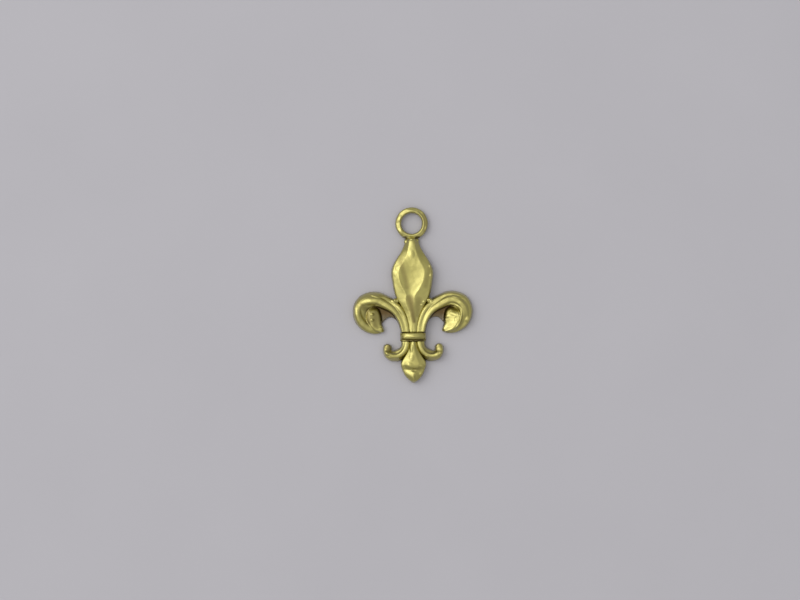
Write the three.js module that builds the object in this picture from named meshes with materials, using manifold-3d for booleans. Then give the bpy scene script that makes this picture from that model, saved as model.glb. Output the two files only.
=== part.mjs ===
// A small flat-backed fleur-de-lis charm in brass, with a closed hanging ring at its top.
// Millimetres. The charm lies on its back: +Y runs up the charm to the ring and +Z rises from
// the flat back to the worked front. The origin is on the back, in the middle of the outline.
// The elements are separate solids that butt against one another, as soldered work does.
import * as THREE from "three";
import { mergeVertices } from "three/addons/utils/BufferGeometryUtils.js";
import Module from "manifold-3d";

// Centre petal: a leaf with a hollow-ground middle facet, measured up from the collar band.
const CENTRE_LENGTH = 10.6;
const CENTRE_HALF_WIDTH = 2.4;
const CENTRE_STEM_HALF_WIDTH = 0.42;
const CENTRE_HEIGHT = 1.64;

// Hanging ring: closed, of oval wire that is flattened on the back.
const RING_HOLE_RADIUS = 1.16;
const RING_WIRE_WIDTH = 0.7;
const RING_WIRE_HEIGHT = 0.9;
const RING_BACK_FLAT = 0.34;
const RING_BITE = 0.16; // how far the tip of the centre petal reaches into the ring's outline

// Side petals: a band that climbs beside the centre petal and curls round a circle.
const CROTCH_UP = 3.66; // where the band's top edge leaves the centre petal
const CURL_REACH = 2.56; // from the centre petal's flank there out to the middle of the curl
const CURL_DROP = 1.46; // from there down to the middle of the curl
const CURL_RADIUS = 2.4;
const BAND_STEM_WIDTH = 1;
const BAND_WIDTH = 1.68;
const BAND_HEIGHT = 1.5;
const LOBE_WIDTH = 2;
const LOBE_HEIGHT = 1.26;
const CURL_FLOOR_HEIGHT = 0.3; // floor of the deep crease between the band and its lobe

// Collar band: the bead that binds the petals to the foot.
const COLLAR_OVERHANG = 0.05;
const COLLAR_LENGTH = 1.06;
const COLLAR_HEIGHT = 1.95;
const COLLAR_LIP_HEIGHT = 1.14;
const COLLAR_LIP_DROP = 0.16; // how much lower the lip is at the foot, and higher at the petals
const COLLAR_BEAD_RADIUS = 0.45;
const COLLAR_BEAD_DROP = 0.04; // how far the bead lies below the collar's middle
const COLLAR_ARCH_TURN = 80; // how far the arch turns from its top to its upright ends

// Foot: a spear and two small scrolls, measured down from the collar band.
const SPEAR_LENGTH = 4.72;
const SPEAR_HALF_WIDTH = 1.46;
const SPEAR_STEM_HALF_WIDTH = 0.4;
const SPEAR_HEIGHT = 1.55;
const SCROLL_STEM_WIDTH = 1;
const SCROLL_WIDTH = 1.38;
const SCROLL_REACH = 2.03; // from the middle of the scroll's stem out to the middle of its knob
const SCROLL_DROP = 1.64; // from the collar band down to the middle of the scroll's arm
const SCROLL_BEND_RADIUS = 0.72;
const SCROLL_HEIGHT = 1.38;
const KNOB_RADIUS = 0.52;
const KNOB_DROP = 0.76;

// Sizes that all the relief shares.
const LAND = 0.28; // upright edge above the flat back
const LAND_SHARE = 0.6; // the most of an edge's height that its land takes
const EDGE_LEAN = 0.1; // how far a ribbon's edge leans in above the land
const EDGE_LEAN_SHARE = 0.3; // the most of the half width that the lean takes
const LEAF_LEAN = 0.02; // how far a leaf's edge leans in above the land
const SHOULDER_AT = 0.84; // where a leaf's round edge begins, as a share of its half width
const TAPER_HALF_WIDTH = 0.34; // half width below which the relief sinks towards a tip
const SEAT_GAP = 0.02; // clearance where one piece is cut to its neighbour
const SEAT_LAP = 0.14; // how far a piece is drawn into its neighbour before it is cut to it

// Fineness of the surfaces.
const STEPS_PER_ROW = 3;
const SECTION_STEPS = 15;
const RING_STEPS = 40;
const RING_SECTION_STEPS = 12;
const BEAD_STEPS = 10;
const COLLAR_STEPS = 16;
const SEAT_STEPS = 40;
const CURL_FLOOR_STEPS = 12;
const MERGE_TOLERANCE = 1e-5; // points closer than this are one

const wasm = await Module();
wasm.setup();

const radians = THREE.MathUtils.degToRad;

// Numbers evenly spaced from one end to the other.
function spread(from, to, steps) {
  return Array.from({ length: steps + 1 }, (_, i) => from + ((to - from) * i) / steps);
}

// A solid that can be joined and cut, from a closed geometry.
function solidOf(geometry) {
  const bare = new THREE.BufferGeometry();
  bare.setAttribute("position", geometry.getAttribute("position"));
  if (geometry.index) bare.setIndex(geometry.index);
  const merged = mergeVertices(bare, MERGE_TOLERANCE);
  const vertProperties = merged.attributes.position.array;
  const triVerts = new Uint32Array(merged.index.array);
  return new wasm.Manifold(new wasm.Mesh({ numProp: 3, vertProperties, triVerts }));
}

// The flat-shaded geometry of a finished solid.
function geometryOf(solid) {
  const mesh = solid.getMesh();
  const shared = new THREE.BufferGeometry();
  shared.setAttribute("position", new THREE.BufferAttribute(mesh.vertProperties, 3));
  shared.setIndex(new THREE.BufferAttribute(mesh.triVerts, 1));
  const geometry = shared.toNonIndexed();
  geometry.computeVertexNormals();
  return geometry;
}

// The row at a place between rows of numbers, on a smooth curve that passes through each row.
function rowAt(rows, place) {
  const last = rows.length - 1;
  const i = Math.min(Math.floor(place), last - 1);
  const t = place - i;
  const near = (k) => rows[Math.min(Math.max(k, 0), last)];
  const [before, from, to, after] = [near(i - 1), near(i), near(i + 1), near(i + 2)];
  return from.map((b, n) => {
    const [a, c, d] = [before[n], to[n], after[n]];
    return b + 0.5 * t * (c - a + t * (2 * a - 5 * b + 4 * c - d + t * (3 * (b - c) + d - a)));
  });
}

// The value at x on a smooth line through [x, value] keys, level with the end keys beyond them.
function valueAt(keys, x) {
  const last = keys.length - 1;
  const held = Math.min(Math.max(x, keys[0][0]), keys[last][0]);
  const above = keys.findIndex(([key]) => key > held);
  const i = above < 0 ? last - 1 : above - 1;
  const slopeAt = (k) => {
    const [low, high] = [keys[Math.max(k - 1, 0)], keys[Math.min(k + 1, last)]];
    return (high[1] - low[1]) / (high[0] - low[0]);
  };
  const span = keys[i + 1][0] - keys[i][0];
  const t = (held - keys[i][0]) / span;
  const from = (1 + 2 * t) * (1 - t) ** 2 * keys[i][1] + t * (1 - t) ** 2 * span * slopeAt(i);
  const to = t * t * (3 - 2 * t) * keys[i + 1][1] + t * t * (t - 1) * span * slopeAt(i + 1);
  return from + to;
}

// The numbers of the rows at x, on smooth lines through the rows, each of which starts with its x.
function keyed(rows, x) {
  return rows[0].slice(1).map((_, n) => valueAt(rows.map((row) => [row[0], row[n + 1]]), x));
}

// A closed section over a level line, with an upright land at each end of its top points.
function section(width, top) {
  const landAt = ([, height]) => Math.min(LAND, LAND_SHARE * height);
  return [[0, 0], [0, landAt(top[0])], ...top, [width, landAt(top.at(-1))], [width, 0]];
}

// A solid lofted through stations. Each has a section and the line on the back that it stands
// on, as a start and a direction.
function loft(stations) {
  const rings = stations.map(({ start, along, points }) =>
    points.map(([d, z]) => [start[0] + along[0] * d, start[1] + along[1] * d, z]),
  );
  const size = rings[0].length;
  const faces = [];
  for (let i = 0; i + 1 < rings.length; i++) {
    for (let k = 0; k < size; k++) {
      const [a, b] = [i * size + k, i * size + ((k + 1) % size)];
      faces.push([a, a + size, b], [b, a + size, b + size]);
    }
  }
  const end = rings.length - 1;
  const capOf = (station) => {
    const outline = station.points.map(([d, z]) => new THREE.Vector2(d, z));
    return THREE.ShapeUtils.triangulateShape(outline, []);
  };
  faces.push(...capOf(stations[0]).map(([a, b, c]) => [a, c, b]));
  faces.push(...capOf(stations[end]).map((corners) => corners.map((corner) => corner + end * size)));

  const geometry = new THREE.BufferGeometry();
  geometry.setAttribute("position", new THREE.Float32BufferAttribute(rings.flat(2), 3));
  geometry.setIndex(faces.flat());
  const solid = solidOf(geometry);
  if (solid.volume() > 0) return solid;
  geometry.setIndex(faces.map(([a, b, c]) => [a, c, b]).flat());
  return solidOf(geometry);
}

// A solid that stands on the back over an outline.
function prism(outline, height) {
  const shape = new THREE.Shape(outline.map(([x, y]) => new THREE.Vector2(x, y)));
  return solidOf(new THREE.ExtrudeGeometry(shape, { depth: height, bevelEnabled: false }));
}

// How far the relief rises at an end that tapers, as a share of its full height.
const riseAt = (half) => Math.min(1, Math.sqrt(half / TAPER_HALF_WIDTH));

// How much the ridges add at a distance from a ribbon's outer edge. Each ridge has rows of place
// along the spine, distance of its crest from the outer edge, rise and half width.
function ridgeRise(ridges, place, distance) {
  return ridges.reduce((total, rows) => {
    const [crestAt, rise, half] = keyed(rows, place);
    return total + rise * Math.max(1 - ((distance - crestAt) / half) ** 2, 0) ** 2;
  }, 0);
}

// A ribbon along a spine whose rows are [x, y, half width], with its root square to the Y axis.
// Its sections' rows are the place among the spine's rows, the outer edge's height, the shoulder's
// share of the width and height, the middle's height, the rim's share of the width and height, and
// the inner edge's height. All the heights and rises are shares of the ribbon's height.
function ribbon(spine, sections, ridges, height, outerSide) {
  const last = spine.length - 1;
  const near = 0.02;
  const stations = spread(0, last, last * STEPS_PER_ROW).map((place) => {
    const [x, y, half] = rowAt(spine, place);
    const behind = rowAt(spine, Math.max(place - near, 0));
    const ahead = rowAt(spine, Math.min(place + near, last));
    const travel = new THREE.Vector2(place > 0 ? ahead[0] - behind[0] : 0, ahead[1] - behind[1]);
    travel.normalize();
    const inward = [travel.y * outerSide, -travel.x * outerSide];
    const [outer, shoulderAt, shoulder, middle, rimAt, rim, inner] = keyed(sections, place);
    const lean = Math.min(EDGE_LEAN, EDGE_LEAN_SHARE * half) / (2 * half);
    const base = [
      [lean, outer],
      [shoulderAt, shoulder],
      [(shoulderAt + rimAt) / 2, middle],
      [rimAt, rim],
      [1 - lean, inner],
    ];
    const rise = height * riseAt(half);
    const top = spread(lean, 1 - lean, SECTION_STEPS).map((share) => {
      const distance = share * 2 * half;
      return [distance, rise * (valueAt(base, share) + ridgeRise(ridges, place, distance))];
    });
    return {
      start: [x - inward[0] * half, y - inward[1] * half],
      along: inward,
      points: section(2 * half, top),
    };
  });
  return loft(stations);
}

// A leaf on the Y axis. Its plan gives the half width at each distance from its root. Its
// sections' rows are the share of the length, how far the middle lies to the right and the
// ridge's place as shares of the half width, and the heights of the middle, ridge, shoulder and
// edge as shares of the leaf's height. From ridge to ridge it is hollow or crowned, then it
// slopes straight to the shoulder and rounds off to the edge.
function leaf(plan, sections, length, height, way) {
  const steps = (sections.length - 1) * STEPS_PER_ROW;
  const stations = spread(0, length, steps).map((far) => {
    const half = valueAt(plan, far);
    const [shift, ridgeAt, middle, ridge, shoulder, edge] = keyed(sections, far / length);
    const slope = (ridgeAt + SHOULDER_AT) / 2;
    const rounded = (SHOULDER_AT + 1) / 2;
    const side = [
      [ridgeAt / 2, (3 * middle + ridge) / 4],
      [ridgeAt, ridge],
      [slope, (ridge + shoulder) / 2],
      [SHOULDER_AT, shoulder],
      [rounded, edge + Math.sqrt(0.75) * (shoulder - edge)],
      [1, edge],
    ];
    const rise = height * riseAt(half);
    const reach = half - LEAF_LEAN;
    const right = side.map(([share, z]) => [shift + share * (1 - shift), z]);
    const left = side.map(([share, z]) => [shift - share * (1 + shift), z]).reverse();
    const top = [...left, [shift, middle], ...right].map(([x, z]) => [half + x * reach, z * rise]);
    return { start: [-half, way * far], along: [1, 0], points: section(2 * half, top) };
  });
  return loft(stations);
}

// A cutter over a leaf's plan, grown by the gap that its neighbours keep.
function seatCutter(plan, length, way) {
  const right = spread(0, length, SEAT_STEPS).map((far) => [valueAt(plan, far) + SEAT_GAP, way * far]);
  const left = right.map(([x, y]) => [-x, y]).reverse();
  return prism([...right, ...left], COLLAR_HEIGHT);
}

// A leaf's plan from rows of [share of the length, share of the swell from stem to widest].
function leafPlan(rows, length, stemHalf, widestHalf) {
  return rows.map(([share, swell]) => [share * length, stemHalf + swell * (widestHalf - stemHalf)]);
}

// Hanging ring.
const ringCentreUp = CENTRE_LENGTH - RING_BITE + RING_HOLE_RADIUS + RING_WIRE_WIDTH;

function ringSolid(gap) {
  const wireRadius = RING_HOLE_RADIUS + RING_WIRE_WIDTH / 2;
  const half = { across: RING_WIRE_WIDTH / 2 + gap, up: RING_WIRE_HEIGHT / 2 + gap };
  const flatTurn = radians(90) - Math.asin(RING_BACK_FLAT / RING_WIRE_WIDTH);
  const sink = half.up * Math.sin(flatTurn);
  const profile = spread(-flatTurn, Math.PI + flatTurn, RING_SECTION_STEPS).map((turn) => {
    const up = sink - gap + half.up * Math.sin(turn);
    return new THREE.Vector2(wireRadius + half.across * Math.cos(turn), up);
  });
  profile.push(profile[0].clone());
  const geometry = new THREE.LatheGeometry(profile, RING_STEPS);
  return solidOf(geometry.rotateX(Math.PI / 2).translate(0, ringCentreUp, 0));
}

// Centre petal.
const centreSwell = [
  [0, 0], [0.1, 0.075], [0.19, 0.22], [0.28, 0.47], [0.37, 0.74], [0.45, 0.87],
  [0.55, 0.96], [0.63, 1], [0.7, 0.93], [0.78, 0.7], [0.86, 0.42], [0.93, 0.24], [1, 0.14],
];
const centrePlan = leafPlan(centreSwell, CENTRE_LENGTH, CENTRE_STEM_HALF_WIDTH, CENTRE_HALF_WIDTH);
const centreSections = [
  [0, 0, 0.36, 0.87, 0.88, 0.82, 0.76], [0.12, -0.03, 0.34, 0.88, 0.895, 0.81, 0.74],
  [0.22, -0.12, 0.33, 0.9, 0.915, 0.8, 0.7], [0.31, -0.2, 0.33, 0.925, 0.94, 0.8, 0.6],
  [0.352, -0.16, 0.28, 0.935, 0.95, 0.8, 0.5], [0.395, -0.07, 0.26, 0.92, 0.97, 0.81, 0.44],
  [0.46, -0.02, 0.43, 0.89, 0.99, 0.83, 0.4], [0.545, 0, 0.58, 0.87, 1, 0.86, 0.4],
  [0.63, 0, 0.62, 0.86, 1, 0.87, 0.4], [0.7, 0, 0.58, 0.86, 0.98, 0.84, 0.4],
  [0.77, 0, 0.53, 0.85, 0.94, 0.77, 0.4], [0.88, 0, 0.33, 0.79, 0.83, 0.6, 0.38],
  [0.95, 0, 0.16, 0.72, 0.72, 0.5, 0.36], [1, 0, 0.12, 0.64, 0.63, 0.44, 0.34],
];

function centrePetal() {
  return leaf(centrePlan, centreSections, CENTRE_LENGTH, CENTRE_HEIGHT, 1).subtract(ringSolid(SEAT_GAP));
}

// Side petals, as the right one: a band up the centre petal's flank and round the curl. The rows
// of the sections and ridges give their places along it: stem 0 to 3, crotch 4, curl 5 to 15.
const curlOut = valueAt(centrePlan, CROTCH_UP) + CURL_REACH;
const curlUp = CROTCH_UP - CURL_DROP;
const bandSections = [
  [0, 0.84, 0.2, 0.91, 0.9, 0.9, 0.84, 0.5], [2, 0.84, 0.2, 0.92, 0.89, 0.9, 0.84, 0.42],
  [3, 0.8, 0.2, 0.91, 0.88, 0.9, 0.82, 0.42], [4, 0.64, 0.18, 0.84, 0.85, 0.92, 0.78, 0.42],
  [5, 0.42, 0.14, 0.7, 0.8, 0.94, 0.76, 0.48], [6, 0.38, 0.13, 0.66, 0.77, 0.94, 0.75, 0.52],
  [7, 0.36, 0.13, 0.65, 0.76, 0.95, 0.74, 0.54], [8, 0.36, 0.13, 0.64, 0.76, 0.95, 0.73, 0.56],
  [10, 0.36, 0.13, 0.6, 0.76, 0.94, 0.75, 0.6], [11, 0.36, 0.13, 0.56, 0.74, 0.94, 0.78, 0.66],
  [12, 0.36, 0.14, 0.5, 0.68, 0.94, 0.8, 0.7], [13, 0.36, 0.15, 0.47, 0.6, 0.94, 0.76, 0.68],
  [15, 0.36, 0.18, 0.44, 0.51, 0.94, 0.6, 0.56],
];
const rightRib = [
  [0, 0.86, 0.1, 0.36], [2, 1.04, 0.13, 0.42], [3, 1.12, 0.15, 0.48], [4, 1.1, 0.18, 0.62],
  [5, 1, 0.21, 0.74], [6, 0.98, 0.23, 0.78], [8, 1.12, 0.24, 0.78], [9, 0.96, 0.23, 0.74],
  [10, 0.68, 0.18, 0.6], [10.5, 0.44, 0.13, 0.42], [11, 0.3, 0, 0.4], [15, 0.3, 0, 0.4],
];
const leftRib = [
  ...rightRib.slice(0, 4), [5, 0.96, 0.22, 0.74], [6, 0.9, 0.24, 0.74], [7, 0.72, 0.23, 0.68],
  [8, 0.5, 0.18, 0.6], [9, 0.42, 0.15, 0.52], [10, 0.52, 0.15, 0.5], [11, 0.62, 0.12, 0.46],
  [12, 0.6, 0.05, 0.4], [13, 0.5, 0, 0.4], [15, 0.5, 0, 0.4],
];
const flankLine = [
  [0, 0.26, 0.05, 0.26], [3, 0.36, 0.06, 0.3], [4, 0.4, 0.03, 0.3], [5, 0.4, 0, 0.3],
  [15, 0.4, 0, 0.3],
];

function sideBand(rib) {
  const stemRows = [[0, 0, 1], [0.26, 4, 1.08], [0.52, 16, 1.2], [0.78, 33, 1.34]];
  const stem = stemRows.map(([share, lean, widen]) => {
    const up = share * CROTCH_UP;
    const half = (widen * BAND_STEM_WIDTH + SEAT_LAP) / 2;
    const flank = valueAt(centrePlan, up) - SEAT_LAP;
    return [flank + half * Math.cos(radians(lean)), up - half * Math.sin(radians(lean)), half];
  });
  const crotchHalf = 0.47 * BAND_WIDTH;
  const crotchOut = valueAt(centrePlan, CROTCH_UP) + 0.8 * crotchHalf;
  const crotch = [crotchOut, CROTCH_UP - 0.84 * crotchHalf, crotchHalf];
  const curlRows = [
    [112, 1, 0.99], [88, 1.01, 1.01], [64, 1.035, 1.03], [40, 1.07, 1.06], [15, 1.055, 1.02],
    [-12, 1.03, 0.92], [-38, 1.015, 0.78], [-62, 1, 0.57], [-84, 1, 0.33], [-102, 1, 0.14],
    [-114, 1, 0.04],
  ];
  const curl = curlRows.map(([turn, reach, share]) => {
    const half = (share * BAND_WIDTH) / 2;
    const radius = reach * CURL_RADIUS - half;
    return [curlOut + radius * Math.cos(radians(turn)), curlUp + radius * Math.sin(radians(turn)), half];
  });
  return ribbon([...stem, crotch, ...curl], bandSections, [rib, flankLine], BAND_HEIGHT, 1);
}

// The lobe that turns over inside the curl: a dished leaf that narrows to the petal's tip. Its
// spine and the floor's outline are in shares of the curl's radius from its middle.
function sideLobe() {
  const rows = [
    [0.22, 0.48, 0.5], [0.18, 0.21, 0.8], [0.08, -0.08, 1], [0.025, -0.35, 0.98],
    [-0.075, -0.6, 0.8], [-0.26, -0.775, 0.46], [-0.42, -0.875, 0.14],
  ];
  const spine = rows.map(([out, up, share]) => [
    curlOut + out * CURL_RADIUS,
    curlUp + up * CURL_RADIUS,
    (share * LOBE_WIDTH) / 2,
  ]);
  const sections = [
    [0, 0.16, 0.17, 0.22, 0.2, 0.84, 0.18, 0.16], [1, 0.44, 0.17, 0.54, 0.42, 0.84, 0.3, 0.2],
    [1.5, 0.6, 0.17, 0.84, 0.66, 0.84, 0.46, 0.28], [2, 0.68, 0.17, 0.98, 0.75, 0.84, 0.52, 0.3],
    [3, 0.7, 0.17, 1, 0.75, 0.84, 0.52, 0.3], [4, 0.72, 0.17, 0.96, 0.75, 0.84, 0.55, 0.33],
    [5, 0.7, 0.17, 0.84, 0.71, 0.84, 0.6, 0.36], [6, 0.68, 0.17, 0.74, 0.68, 0.84, 0.62, 0.4],
  ];
  return ribbon(spine, sections, [], LOBE_HEIGHT, 1);
}

// The low floor in the crook of the curl, which closes the crease behind the lobe.
function curlFloor() {
  const pointsOf = (rows) =>
    rows.map(([out, up]) => new THREE.Vector2(curlOut + out * CURL_RADIUS, curlUp + up * CURL_RADIUS));
  const open = [[-1.08, -0.25], [-0.92, -0.26], [-0.625, -0.18], [-0.425, -0.375], [-0.21, -0.46]];
  const hidden = [[0.33, -0.25], [0.375, 0.42], [0.08, 0.625], [-0.5, 0.54], [-0.92, 0.21]];
  const edge = new THREE.SplineCurve(pointsOf(open)).getPoints(CURL_FLOOR_STEPS);
  return prism([...edge, ...pointsOf(hidden)].map(({ x, y }) => [x, y]), CURL_FLOOR_HEIGHT);
}

function sidePetal(rib) {
  const cutter = seatCutter(centrePlan, CENTRE_LENGTH, 1);
  return sideBand(rib).add(sideLobe()).add(curlFloor()).subtract(cutter);
}

// Collar band: a bead between a high and a low lip, arched over the stems.
const collarHalfWidth = CENTRE_STEM_HALF_WIDTH + BAND_STEM_WIDTH + COLLAR_OVERHANG;

function collarBand() {
  const half = COLLAR_LENGTH / 2;
  const bead = spread(0, 180, BEAD_STEPS).map((turn) => {
    const lip = COLLAR_LIP_HEIGHT - COLLAR_LIP_DROP * Math.cos(radians(turn));
    return [
      -COLLAR_BEAD_DROP - COLLAR_BEAD_RADIUS * Math.cos(radians(turn)),
      lip + (COLLAR_HEIGHT - lip) * Math.sin(radians(turn)),
    ];
  });
  const across = [
    [-half, COLLAR_LIP_HEIGHT - COLLAR_LIP_DROP],
    ...bead,
    [half, COLLAR_LIP_HEIGHT + COLLAR_LIP_DROP],
  ];
  const farthest = Math.sin(radians(COLLAR_ARCH_TURN));
  const stations = spread(-COLLAR_ARCH_TURN, COLLAR_ARCH_TURN, COLLAR_STEPS).map((turn) => {
    const arch = Math.cos(radians(turn)) ** 0.45;
    return {
      start: [(collarHalfWidth * Math.sin(radians(turn))) / farthest, -half],
      along: [0, 1],
      points: [[0, 0], ...across.map(([y, z]) => [y + half, z * arch]), [2 * half, 0]],
    };
  });
  return loft(stations);
}

// Foot spear: a narrow stem, a bulge, a shallow waist and a pointed bud.
const spearSwell = [
  [0, 0], [0.12, 0.08], [0.22, 0.24], [0.32, 0.47], [0.41, 0.74], [0.49, 0.95], [0.55, 1],
  [0.61, 0.96], [0.68, 0.85], [0.75, 0.73], [0.82, 0.55], [0.89, 0.31], [0.95, 0.03], [1, -0.28],
];
const spearPlan = leafPlan(spearSwell, SPEAR_LENGTH, SPEAR_STEM_HALF_WIDTH, SPEAR_HALF_WIDTH);
const spearSections = [
  [0, 0, 0.34, 0.86, 0.83, 0.72, 0.6], [0.12, 0, 0.34, 0.88, 0.85, 0.73, 0.6],
  [0.26, 0, 0.34, 0.91, 0.88, 0.74, 0.56], [0.4, 0, 0.36, 0.95, 0.92, 0.76, 0.5],
  [0.5, 0, 0.4, 0.98, 0.95, 0.78, 0.44], [0.58, 0, 0.42, 1, 0.97, 0.77, 0.42],
  [0.635, 0, 0.4, 0.9, 0.86, 0.67, 0.4], [0.68, 0, 0.36, 0.81, 0.77, 0.6, 0.38],
  [0.74, 0, 0.3, 0.9, 0.83, 0.6, 0.38], [0.81, 0, 0.28, 0.94, 0.84, 0.58, 0.38],
  [0.9, 0, 0.28, 0.86, 0.76, 0.52, 0.36], [0.96, 0, 0.28, 0.76, 0.68, 0.46, 0.34],
  [1, 0, 0.28, 0.66, 0.6, 0.42, 0.32],
];

function footSpear() {
  return leaf(spearPlan, spearSections, SPEAR_LENGTH, SPEAR_HEIGHT, -1);
}

// Right foot scroll: down the spear's flank, out along an arm and up to a round knob.
function footScroll() {
  const stemOut = SPEAR_STEM_HALF_WIDTH + SCROLL_STEM_WIDTH / 2;
  const stemHalf = (SCROLL_STEM_WIDTH + SEAT_LAP) / 2;
  const armHalf = SCROLL_WIDTH / 2;
  const knobOut = stemOut + SCROLL_REACH;
  const stem = [
    [stemOut - SEAT_LAP / 2, 0, stemHalf],
    [stemOut - 0.4 * SEAT_LAP, -0.27 * SCROLL_DROP, 0.96 * stemHalf],
    [stemOut + 0.04 * SCROLL_REACH, -0.53 * SCROLL_DROP, 0.97 * stemHalf],
    [stemOut + 0.19 * SCROLL_REACH, -0.78 * SCROLL_DROP, 0.9 * armHalf],
    [stemOut + 0.42 * SCROLL_REACH, -0.95 * SCROLL_DROP, 0.98 * armHalf],
  ];
  const bendRows = [[0, 0.9], [30, 0.87], [60, 0.82], [88, 0.76]];
  const bend = bendRows.map(([turn, share]) => [
    knobOut - SCROLL_BEND_RADIUS * (1 - Math.sin(radians(turn))),
    -SCROLL_DROP + SCROLL_BEND_RADIUS * (1 - Math.cos(radians(turn))),
    share * armHalf,
  ]);
  const knob = [16, 40, 62, 78].map((turn) => [
    knobOut,
    -KNOB_DROP + KNOB_RADIUS * Math.sin(radians(turn)),
    KNOB_RADIUS * Math.cos(radians(turn)),
  ]);
  const sections = [
    [0, 0.7, 0.14, 0.82, 0.86, 0.86, 0.78, 0.5], [2, 0.6, 0.14, 0.76, 0.84, 0.86, 0.78, 0.44],
    [4, 0.4, 0.13, 0.6, 0.78, 0.88, 0.8, 0.46], [7, 0.38, 0.13, 0.6, 0.8, 0.88, 0.8, 0.46],
    [9, 0.42, 0.13, 0.66, 0.84, 0.88, 0.78, 0.46], [12, 0.44, 0.13, 0.66, 0.84, 0.88, 0.72, 0.46],
  ];
  const rib = [
    [0, 0.43, 0.12, 0.34], [2, 0.48, 0.16, 0.38], [4, 0.62, 0.2, 0.42], [7, 0.58, 0.19, 0.42],
    [9, 0.5, 0.14, 0.42], [12, 0.42, 0.1, 0.4],
  ];
  const scroll = ribbon([...stem, ...bend, ...knob], sections, [rib], SCROLL_HEIGHT, -1);
  return scroll.subtract(seatCutter(spearPlan, SPEAR_LENGTH, -1));
}

// Raw brass, satin from the mould.
function piece(name, solid) {
  const brass = new THREE.MeshStandardMaterial({ color: 0xc8b860, metalness: 1, roughness: 0.35 });
  const mesh = new THREE.Mesh(geometryOf(solid), brass);
  mesh.name = name;
  return mesh;
}

// A piece that mirrors one made for the right side.
function mirrored(name, solid) {
  const left = piece(name, solid);
  left.scale.x = -1;
  return left;
}

const petals = new THREE.Group();
petals.position.y = COLLAR_LENGTH / 2;
petals.add(piece("hanging_ring", ringSolid(0)), piece("centre_petal", centrePetal()));
petals.add(piece("right_petal", sidePetal(rightRib)), mirrored("left_petal", sidePetal(leftRib)));

const foot = new THREE.Group();
foot.position.y = -COLLAR_LENGTH / 2;
foot.add(piece("foot_spear", footSpear()));
foot.add(piece("right_foot_scroll", footScroll()), mirrored("left_foot_scroll", footScroll()));

const charm = new THREE.Group();
charm.add(petals, piece("collar_band", collarBand()), foot);

// The collar band's middle lies below the middle of the outline.
const ringTop = petals.position.y + ringCentreUp + RING_HOLE_RADIUS + RING_WIRE_WIDTH;
const spearTip = foot.position.y - SPEAR_LENGTH;
charm.position.y = -(ringTop + spearTip) / 2;

export default charm;
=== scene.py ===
"""A small brass fleur-de-lis charm with a closed hanging ring, lying on pale lilac-grey paper.

Each visible piece is lofted here in millimetres, skinned into one soft-edged casting, and then
scaled to metres where the frame has its node.
"""
from math import cos, pi, radians, sin, sqrt

import bpy
import numpy as np
from mathutils import Euler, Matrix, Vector, noise


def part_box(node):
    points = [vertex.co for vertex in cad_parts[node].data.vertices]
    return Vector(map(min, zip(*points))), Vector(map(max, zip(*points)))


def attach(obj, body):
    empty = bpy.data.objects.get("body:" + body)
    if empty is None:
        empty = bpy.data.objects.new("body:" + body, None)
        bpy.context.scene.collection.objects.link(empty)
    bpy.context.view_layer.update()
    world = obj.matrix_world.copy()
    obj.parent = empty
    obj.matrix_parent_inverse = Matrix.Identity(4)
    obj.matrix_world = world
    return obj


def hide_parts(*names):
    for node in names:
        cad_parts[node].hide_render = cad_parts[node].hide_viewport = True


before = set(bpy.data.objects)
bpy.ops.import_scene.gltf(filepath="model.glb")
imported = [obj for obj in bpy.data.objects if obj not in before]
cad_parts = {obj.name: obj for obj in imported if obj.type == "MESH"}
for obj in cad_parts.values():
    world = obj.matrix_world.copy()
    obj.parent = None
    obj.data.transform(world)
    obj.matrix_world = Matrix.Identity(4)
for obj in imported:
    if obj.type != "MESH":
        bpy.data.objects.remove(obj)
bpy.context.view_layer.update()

MM = 0.001

# The skin's cells in millimetres. Passes of smoothing are counted at the coarse size.
COARSE_VOXEL = 0.06
VOXEL = 0.036

# Sizes of the castings in millimetres, as in the CAD source. HALF is half a width.
CENTRE_HALF = 2.4
CENTRE_STEM_HALF = 0.42
CENTRE_HEIGHT = 1.64
CROTCH_UP = 3.66  # where a side petal's upper edge leaves the centre petal
CURL_REACH = 2.56  # from the centre petal's flank there out to the curl's middle
CURL_DROP = 1.46  # from there down to the curl's middle
CURL_RADIUS = 2.4
BAND_STEM = 1.0
BAND_WIDTH = 1.68
BAND_HEIGHT = 1.5
LOBE_WIDTH = 2
WEB_HEIGHT = 0.3
SPEAR_HALF = 1.46
SPEAR_STEM_HALF = 0.4
SPEAR_HEIGHT = 1.55
SCROLL_STEM = 1.0
SCROLL_WIDTH = 1.38
SCROLL_REACH = 2.03
SCROLL_DROP = 1.64
SCROLL_BEND = 0.7
SCROLL_HEIGHT = 1.38
KNOB_RADIUS = 0.52
KNOB_DROP = 0.76
COLLAR_LIP = 1.14
LIP_DROP = 0.16  # how much lower the lip is at the foot, and higher at the petals
COLLAR_ARCH_TURN = 80  # degrees from its middle to either end
BEAD_RAISED = 0.07  # how far the bead lies above the collar's middle
BEAD_RADIUS = 0.4
RING_WIRE = 0.7
RING_BACK_FLAT = 0.34
LAND = 0.28  # height of the upright edge under the relief
LAND_SHARE = 0.6  # of a low edge's height that the upright edge may take
EDGE_LEAN = 0.1  # how far a ribbon's edge leans in over its land
LEAN_SHARE = 0.3  # of a narrow half width that the lean may take
LEAF_LEAN = 0.02
TAPER_HALF = 0.34  # half width below which the relief sinks towards a tip
LAP = 0.14  # how far a side piece is drawn into the middle one
SHOULDER_AT = 0.89  # a leaf's shoulder, as a share of its half width

# Powers that round the collar's arch, its narrowing towards the ends and its bead.
ARCH_ROUND = 0.45
NARROW_ROUND = 0.2
BEAD_ROUND = 0.35

# How finely the lofts are cut, and the step along a spine that shows where it heads.
STEPS_PER_ROW = 8
SECTION_STEPS = 40
HEADING_STEP = 0.02


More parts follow.
